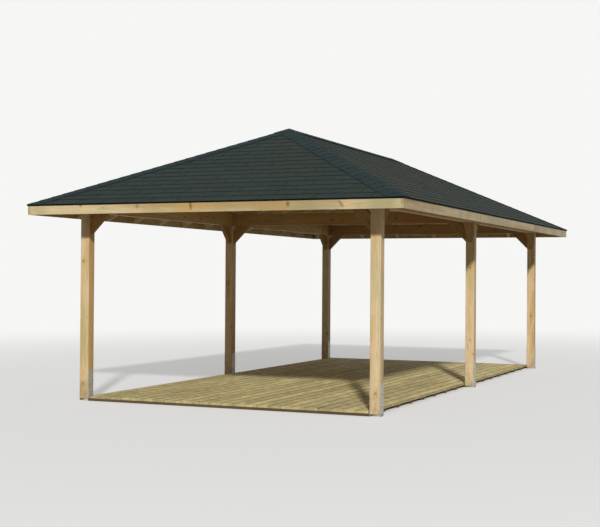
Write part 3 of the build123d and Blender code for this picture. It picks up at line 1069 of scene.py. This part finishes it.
# Each board has a figure and tone of its own; it is darker in the grooves, and along the long edges with dirt
# and painted shade of the gaps
def deckMaterial():
    material, tree, shader, world = startMaterial("deckPine")
    x, y, z = split(tree, vectorCalc(tree, "SUBTRACT", world, (deckLow.x + deck["width"] / 2, 0, deckHigh.z)))
    row = useGroup(tree, boardRow, Across=x, Pitch=deck["pitch"])
    half = times(tree, calc(tree, "GREATER_THAN", y, 0.0), 7.7)
    seed = plus(tree, times(tree, row["Tone"], 19.0), plus(tree, row["Board"], half))
    place = combine(tree, y, row["Offset"], z)
    base = paintTimber(tree, shader, place, world, seed, deckPine)
    base = toned(tree, base, ramp(tree, chance(tree, seed), 0.0, 1.0, 0.82, 1.12))
    grooveDark = ramp(tree, z, -deck["grooveDepth"], 0.0, 0.3, 0.0)
    sideways = calc(tree, "ABSOLUTE", row["Offset"])
    edge = deck["width"] / 2
    # Along the long edges: dirt together with painted shade of the gaps between boards
    edgeDirtAndShade = ramp(tree, sideways, edge - deck["edgeDarkFrom"], edge - deck["edgeDarkFull"], 0.0, 0.75, True)
    onTop = ramp(tree, z, -0.006, -0.004, 0.3, 1.0)
    deckDarkening = calc(tree, "MAXIMUM", grooveDark, times(tree, edgeDirtAndShade, onTop))
    feed(tree, shader["Base Color"], mixColour(tree, deckDarkening, base, (84, 70, 46)))
    return material


makeDeckBoards(deckMaterial())
print("deck boards laid")

# Galvanised anchors and their bolts
def zincMaterial(name):
    material, tree, shader, world = startMaterial(name)
    flowers = split(tree, cells(tree, world, 70.0)["Color"])[0]
    cloud = noise(tree, world, 14.0, 4.0, 0.6)[0]
    base = mixColour(tree, flowers, (168, 167, 154), (204, 202, 188))
    base = mixColour(tree, ramp(tree, cloud, 0.45, 0.75, 0.0, 0.45, True), base, (146, 143, 126))
    low = ramp(tree, split(tree, world)[2], 0.0, 0.05, 0.5, 0.0)
    feed(tree, shader["Base Color"], mixColour(tree, low, base, (104, 94, 70)))
    feed(tree, shader["Metallic"], ramp(tree, low, 0.0, 0.5, 0.5, 0.25))
    feed(tree, shader["Roughness"], ramp(tree, cloud, 0.2, 0.8, 0.38, 0.62))
    addBump(tree, shader, cloud, 0.2, 0.002)
    return material


# The photograph shows the plates nearly as wide as the posts
anchor = {
    "plateWidth": 0.1,
    "plateHeight": 0.36,
    "plate": 0.005,
    "webLow": 0.02,
    "edge": 0.001,
}


def makeAnchor(halfPost):
    halfWide = anchor["plateWidth"] / 2
    webHigh = anchor["webLow"] + anchor["plate"]
    parts = [addBlock("anchorWeb", (-halfPost, -halfWide, anchor["webLow"]), (halfPost, halfWide, webHigh))]
    for sign in (-1, 1):
        inner, outer = sorted((sign * halfPost, sign * (halfPost + anchor["plate"])))
        parts.append(addBlock("anchorPlate", (inner, -halfWide, 0), (outer, halfWide, anchor["plateHeight"])))
    for part in parts:
        bevelEdges(part, anchor["edge"], 1, lambda a, b: True)
    return joinPieces(parts, "anchorModel")


# A hexagon head on a round washer
bolt = {
    "radius": 0.009,
    "head": 0.007,
    "washer": 0.013,
    "washerHeight": 0.0022,
    "heights": (0.12, 0.26),
}


def makeBolt():
    head = addDisc(6, bolt["radius"], bolt["washerHeight"], bolt["washerHeight"] + bolt["head"])
    return joinPieces([head, addDisc(20, bolt["washer"], 0, bolt["washerHeight"])], "anchorBolt")


def makeAnchors(material):
    low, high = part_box("post_front_left")
    halfPost = (high.x - low.x) / 2
    centres = [middleOf(name) for name in posts]
    spots = [((centre.x, centre.y, 0), Matrix.Identity(4)) for centre in centres]
    anchors = spreadPiece(makeAnchor(halfPost), spots)
    finishPiece(anchors, "postAnchors", "anchor_steel", material, "post_anchors")
    spots = []
    for centre in centres:
        for sign in (-1, 1):
            side = centre.x + sign * (halfPost + anchor["plate"])
            spots += [((side, centre.y, height), rotation("Y", sign * 90)) for height in bolt["heights"]]
    finishPiece(spreadPiece(makeBolt(), spots), "anchorBolts", "anchor_steel", material)


# Screws of the deck boards and the fascias
screw = {
    "radius": 0.0042,
    "height": 0.002,
    "rim": 0.0016,
    "wall": 0.0002,          # how far the recess narrows
    "recess": 0.0009,
    "rise": 0.0002,          # heads over the wood
    "deckSide": 0.0333,      # from the long edges of a deck board
    "endRow": 0.018,         # from the butt joint over the middle joist
    "fasciaEnd": 0.014,      # from the corner, into the front and back boards
    "fasciaHeights": (0.03, 0.09),
}


def makeScrew():
    head = addDisc(8, screw["radius"], -screw["height"], 0)
    editPart(head, "FACE", lambda normal: normal.z > 0.9)
    bpy.ops.mesh.inset(thickness=screw["rim"], depth=0.0)
    bpy.ops.mesh.inset(thickness=screw["wall"], depth=-screw["recess"])
    editDone()
    return head


def makeDeckScrews(first, material):
    row = copyPiece(first, "screwRow")
    repeatPiece(row, 2, (deck["width"] - 2 * screw["deckSide"], 0, 0))
    repeatPiece(row, deckColumns, (deck["pitch"], 0, 0))
    placePiece(row, (deckLow.x + screw["deckSide"], 0, deckHigh.z + screw["rise"]))
    half = (joists["count"] - 1) // 2
    groups = []
    for start, rows, step in (
        (-half * joistStep, half, joistStep),
        (joistStep, half, joistStep),
        (-screw["endRow"], 2, 2 * screw["endRow"]),
    ):
        group = copyPiece(row, "screwGroup")
        placePiece(group, (0, start, 0))
        repeatPiece(group, rows, (0, step, 0))
        groups.append(group)
    bpy.data.objects.remove(row)
    finishPiece(groups, "deckScrews", "anchor_steel", material)


def makeFasciaScrews(first, material):
    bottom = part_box("fascia_front")[0].z
    spots = []
    for side in slopes:
        halfEave = slopes[side]["halfEave"]
        rafters = 2 * int(halfEave / roof["rafterStep"] - 0.5) + 1
        places = [(number - (rafters - 1) / 2) * roof["rafterStep"] for number in range(rafters)]
        if side in ("left", "right"):
            places += [sign * (halfEave - screw["fasciaEnd"]) for sign in (-1, 1)]
        turn = rotation("Z", slopes[side]["turn"])
        out = -slopes[side]["reach"] - screw["rise"]
        for along in places:
            for height in screw["fasciaHeights"]:
                spots.append((turn @ Vector((along, out, bottom + height)), turn @ rotation("X", 90)))
    finishPiece(spreadPiece(first, spots), "fasciaScrews", "anchor_steel", material)


zinc = zincMaterial("galvanisedSteel")
makeAnchors(zinc)
screwHead = makeScrew()
makeDeckScrews(screwHead, zinc)
makeFasciaScrews(screwHead, zinc)
print("anchors bolted, boards screwed")

# Stage
stage = {
    "floor": (240, 240, 238),
    "floorBounce": (166, 162, 150),
    "backdrop": (246, 246, 245),
    "nearShare": 0.45,       # how much of the backdrop the camera sees in the floor close by
    "deckFrom": -0.05,       # none of it over the deck's own ground
    "deckTo": 0.12,
    "fadeFrom": 5.0,         # the floor turns into the backdrop between these distances
    "fadeTo": 17.0,
    "half": 90,
    "sink": 0.001,           # floor under the ground plane
    "sunStrength": 3.05,
    "sunSoftness": 3.5,
    "sunTurn": 25.0,
    "sunHeight": 26.0,
    "sky": 0.24,
}


# What the camera sees: a flat light of the backdrop's colour
def cameraShare(tree):
    path = addNode(tree, "LightPath")
    seen = calc(tree, "MAXIMUM", path.outputs["Is Camera Ray"], path.outputs["Is Transmission Ray"])
    return calc(tree, "MAXIMUM", seen, path.outputs["Is Glossy Ray"])


def mixShaders(tree, share, first, second):
    node = addNode(tree, "MixShader")
    return feedAll(tree, node, (share, first.outputs[0], second.outputs[0]))[0]


def makeStage():
    bpy.ops.mesh.primitive_plane_add(size=2 * stage["half"], location=(0, 0, -stage["sink"]))
    floor = bpy.context.object
    floor.name = "studioFloor"
    material, tree, shader, world = startMaterial("studioFloor")
    seen = mixColour(tree, cameraShare(tree), stage["floorBounce"], stage["floor"])
    feed(tree, shader["Base Color"], seen)
    shader["Roughness"].default_value = 0.9
    shader["Specular IOR Level"].default_value = 0.1
    far = addNode(tree, "Emission")
    far.inputs["Color"].default_value = colour(*stage["backdrop"])
    x, y = split(tree, world)[:2]
    away = distance(tree, x, times(tree, y, 0.8))
    fade = ramp(tree, away, stage["fadeFrom"], stage["fadeTo"], stage["nearShare"], 1.0, True)
    pastDeck = calc(tree, "MAXIMUM", minus(tree, calc(tree, "ABSOLUTE", x), deckHigh.x),
                    minus(tree, calc(tree, "ABSOLUTE", y), deckHigh.y))
    fade = times(tree, fade, ramp(tree, pastDeck, stage["deckFrom"], stage["deckTo"], 0.0, 1.0, True))
    mixed = mixShaders(tree, times(tree, fade, cameraShare(tree)), shader["Roughness"].node, far)
    feed(tree, tree.get_output_node("ALL").inputs[0], mixed)
    floor.data.materials.append(material)
    bpy.ops.object.light_add(type="SUN", location=(4, -8, 8))
    sun = bpy.context.object
    sun.name = "softKey"
    sun.data.energy = stage["sunStrength"]
    sun.data.angle = math.radians(stage["sunSoftness"])
    turn = rotation("Z", stage["sunTurn"]) @ rotation("X", 90 - stage["sunHeight"])
    sun.rotation_euler = turn.to_euler()


def makeSky():
    scene = bpy.context.scene
    if scene.world is None:
        scene.world = bpy.data.worlds.new("studioWorld")
    scene.world.use_nodes = True
    tree = scene.world.node_tree
    tree.nodes.clear()
    ambient = addNode(tree, "Background")
    ambient.inputs["Strength"].default_value = stage["sky"]
    backdrop = addNode(tree, "Background")
    backdrop.inputs["Color"].default_value = colour(*stage["backdrop"])
    mixed = mixShaders(tree, cameraShare(tree), ambient, backdrop)
    feed(tree, addNode(tree, "OutputWorld").inputs[0], mixed)
    scene.view_settings.view_transform = "Standard"


makeStage()
makeSky()
print("stage lit")
